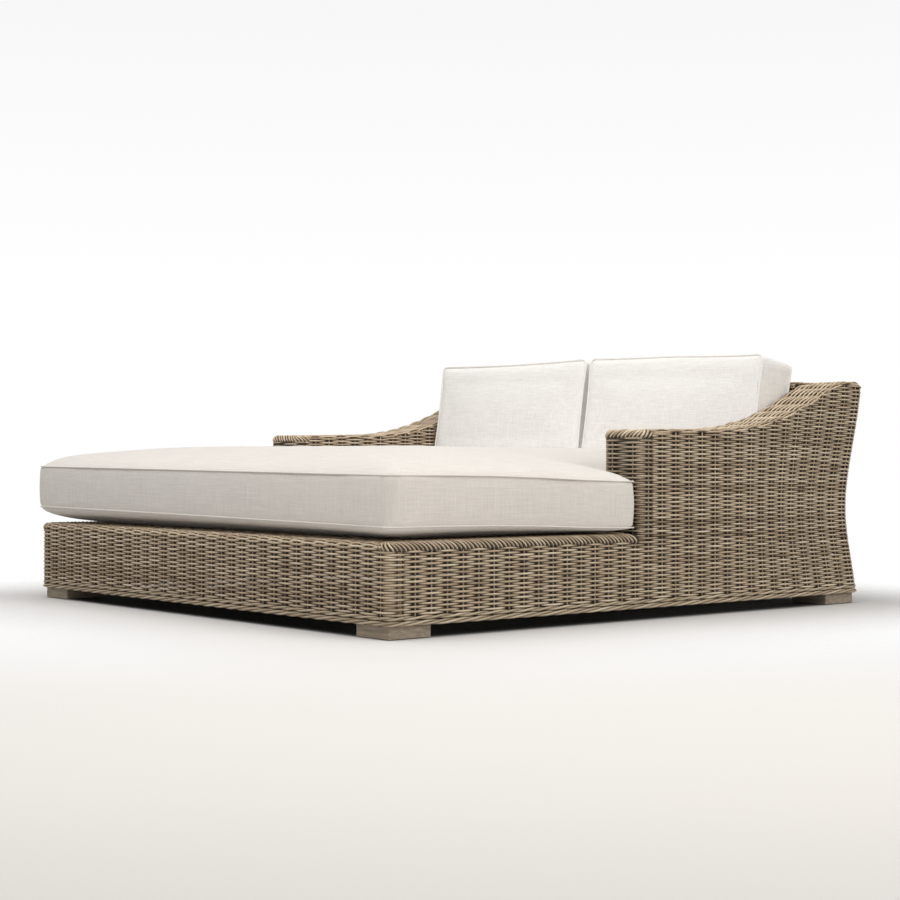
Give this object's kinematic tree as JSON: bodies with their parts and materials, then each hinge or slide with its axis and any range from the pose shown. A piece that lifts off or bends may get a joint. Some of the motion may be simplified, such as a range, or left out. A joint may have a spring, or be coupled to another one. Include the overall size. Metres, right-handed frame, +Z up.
{
  "type": "double chaise lounger",
  "caption": "Wide woven lounger with low open foot end, sloping arms, a flared back and loose boxed cushions, for a patio or porch.",
  "frame": {"origin": "on the floor, under the middle of the whole object's box", "axes": "+Z up, +Y from the foot end to the back, +X to the right of someone at the foot end who looks at the back"},
  "size_m": [1.7688, 1.8663, 0.7766],
  "materials": {
    "woven_strand": "matte",
    "border_strand": "matte",
    "weathered_wood": "matte",
    "frame_tube": "satin",
    "bolt_steel": "satin",
    "glide_nylon": "satin",
    "cushion_cloth": "matte",
    "welt_cloth": "matte",
    "zip_coil": "satin",
    "zip_metal": "satin"
  },
  "bodies": {
    "body_frame": {"foot_front_left": "weathered_wood", "foot_front_right": "weathered_wood", "foot_rear_left": "weathered_wood", "foot_rear_right": "weathered_wood", "foot_glides": "glide_nylon", "foot_bolts": "bolt_steel", "lower_front_rail": "frame_tube", "lower_rear_rail": "frame_tube", "lower_left_rail": "frame_tube", "lower_right_rail": "frame_tube", "lower_back_rail": "frame_tube", "upper_front_rail": "frame_tube", "upper_back_rail": "frame_tube", "upper_left_rail": "frame_tube", "upper_right_rail": "frame_tube", "deck_crossbars": "frame_tube", "centre_beam": "frame_tube", "base_posts": "frame_tube", "back_posts": "frame_tube", "back_top_rail": "frame_tube", "back_rear_rail": "frame_tube", "back_ribs": "frame_tube", "back_spacers": "frame_tube", "arm_bars_left": "frame_tube", "arm_bars_right": "frame_tube", "arm_posts": "frame_tube", "base_front_panel": "woven_strand", "base_side_panel_left": "woven_strand", "base_side_panel_right": "woven_strand", "deck_panel": "woven_strand", "rim_front": "woven_strand", "rim_left": "woven_strand", "rim_right": "woven_strand", "arm_front_panel_left": "woven_strand", "arm_front_panel_right": "woven_strand", "arm_outer_panel_left": "woven_strand", "arm_outer_panel_right": "woven_strand", "arm_inner_panel_left": "woven_strand", "arm_inner_panel_right": "woven_strand", "arm_cap_left": "woven_strand", "arm_cap_right": "woven_strand", "back_inner_panel": "woven_strand", "back_outer_panel": "woven_strand", "back_cap": "woven_strand", "border_front": "border_strand", "border_rear": "border_strand", "border_sides": "border_strand"},
    "seat_cushion_body": {"seat_cushion": "cushion_cloth", "seat_welts": "welt_cloth", "seat_zip": "zip_coil"},
    "left_back_cushion_body": {"back_cushion_left": "cushion_cloth", "back_cushion_welts_left": "welt_cloth", "back_cushion_zip_left": "zip_coil"},
    "right_back_cushion_body": {"back_cushion_right": "cushion_cloth", "back_cushion_welts_right": "welt_cloth", "back_cushion_zip_right": "zip_coil"},
    "seat_slider_body": {"seat_zip_slider": "zip_metal"},
    "left_slider_body": {"back_zip_slider_left": "zip_metal"},
    "right_slider_body": {"back_zip_slider_right": "zip_metal"}
  },
  "joints": [
    {"name": "seat_cushion_lift", "type": "slide", "parent": "body_frame", "child": "seat_cushion_body", "axis": [0, 0, 1], "range_m": [0, 0.3]},
    {"name": "left_back_cushion_lift", "type": "slide", "parent": "seat_cushion_body", "child": "left_back_cushion_body", "axis": [0, 0, 1], "range_m": [0, 0.35]},
    {"name": "right_back_cushion_lift", "type": "slide", "parent": "seat_cushion_body", "child": "right_back_cushion_body", "axis": [0, 0, 1], "range_m": [0, 0.35]},
    {"name": "seat_zip_slide", "type": "slide", "parent": "seat_cushion_body", "child": "seat_slider_body", "axis": [1, 0, 0], "range_m": [0, 1.142]},
    {"name": "left_back_zip_slide", "type": "slide", "parent": "left_back_cushion_body", "child": "left_slider_body", "axis": [-1, 0, 0], "range_m": [0, 0.41]},
    {"name": "right_back_zip_slide", "type": "slide", "parent": "right_back_cushion_body", "child": "right_slider_body", "axis": [-1, 0, 0], "range_m": [0, 0.41]}
  ]
}
